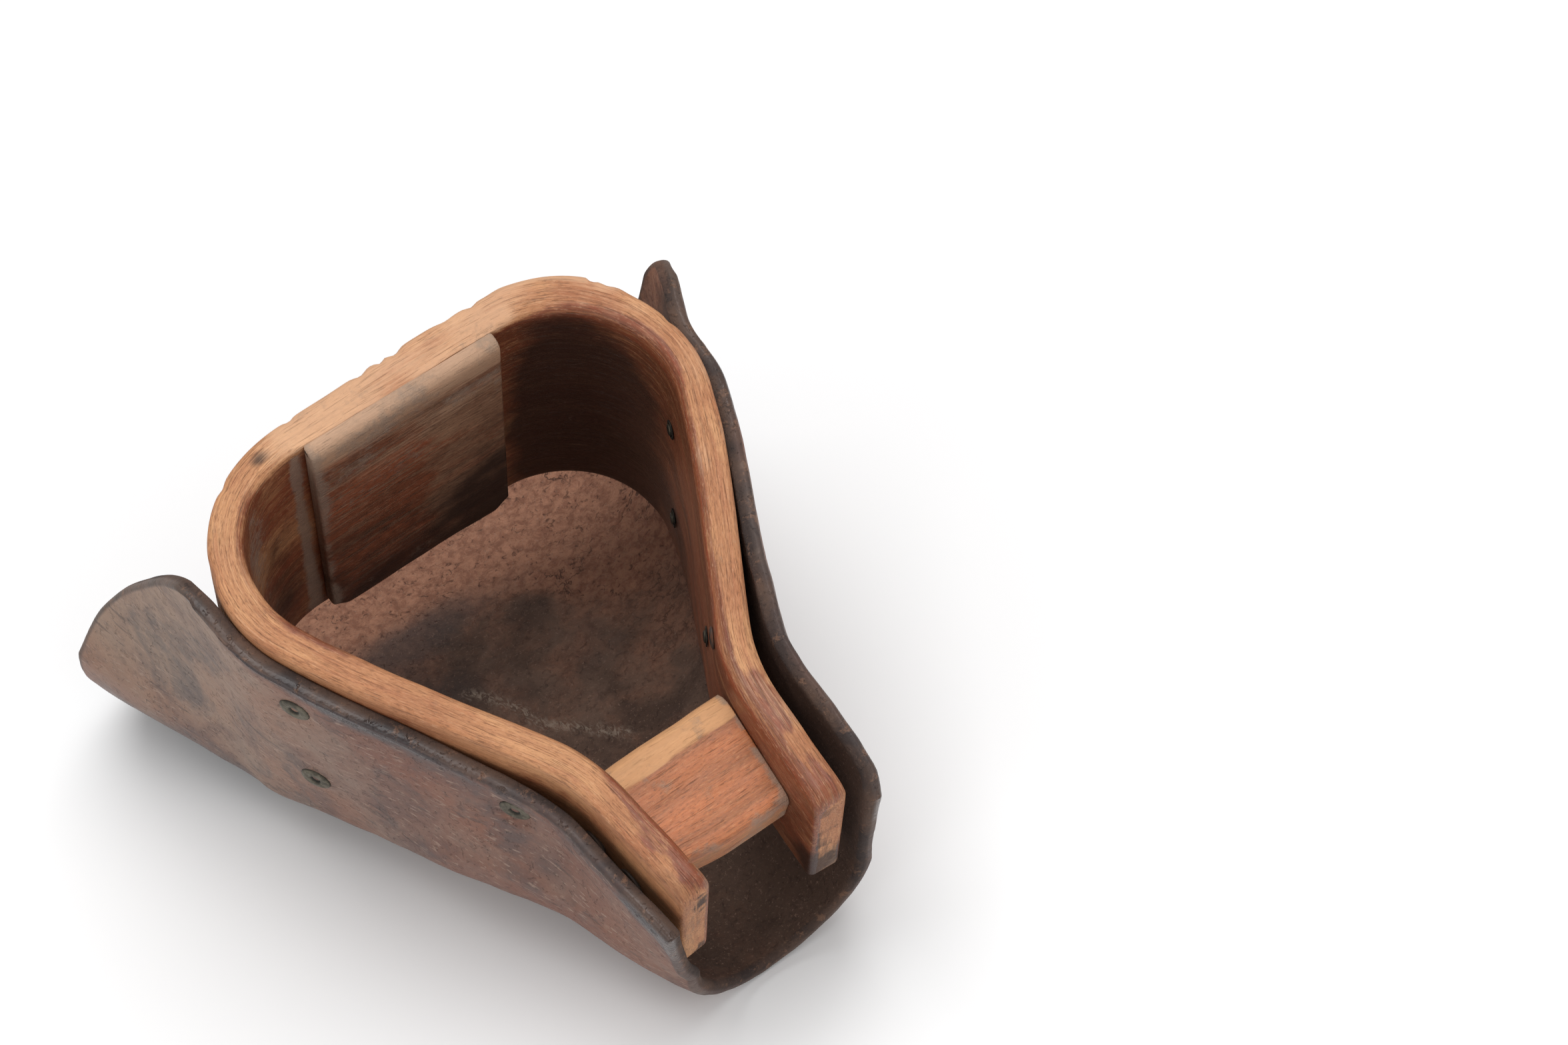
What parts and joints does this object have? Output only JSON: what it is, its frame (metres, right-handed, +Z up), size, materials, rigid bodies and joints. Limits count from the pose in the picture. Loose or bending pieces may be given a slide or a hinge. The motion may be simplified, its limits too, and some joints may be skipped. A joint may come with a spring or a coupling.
{
  "type": "stirrup iron",
  "caption": "Bent-wood riding stirrup with a tread block, a transom between its ears for the strap, and a riveted leather toe hood.",
  "frame": {"origin": "middle of the bounding box's bottom, on the surface that the stirrup lies on", "axes": "+Z up; +X across the stirrup, square to the bow's mirror plane; +Y from the ears to the tread, along the fold of the hood that the stirrup lies on"},
  "size_m": [0.1952, 0.2594, 0.1399],
  "materials": {
    "bow_wood": "steam-bent oak, worn red-brown varnish, tan along the edges",
    "tread_wood": "pale worn wood with red-brown streaks, dusty",
    "transom_wood": "orange-red varnish, bare on the strap edge",
    "hood_leather": "thick dark brown vegetable-tanned leather, burnished edge, rough inside",
    "rivet_brass": "tarnished olive brass",
    "iron": "dark rusted iron"
  },
  "bodies": {
    "root": {"bow": "bow_wood", "hood": "hood_leather", "hood_burr_neck_left": "rivet_brass", "hood_burr_neck_right": "rivet_brass", "hood_burr_tread_lower_left": "rivet_brass", "hood_burr_tread_lower_right": "rivet_brass", "hood_burr_tread_upper_left": "rivet_brass", "hood_burr_tread_upper_right": "rivet_brass", "hood_rivet_neck_left": "rivet_brass", "hood_rivet_neck_right": "rivet_brass", "hood_rivet_tread_lower_left": "rivet_brass", "hood_rivet_tread_lower_right": "rivet_brass", "hood_rivet_tread_upper_left": "rivet_brass", "hood_rivet_tread_upper_right": "rivet_brass", "neck_nail_left": "iron", "neck_nail_right": "iron", "transom": "transom_wood", "transom_burr_1_left": "iron", "transom_burr_1_right": "iron", "transom_burr_2_left": "iron", "transom_burr_2_right": "iron", "transom_rivet_1": "iron", "transom_rivet_2": "iron", "tread_block": "tread_wood"}
  },
  "joints": []
}
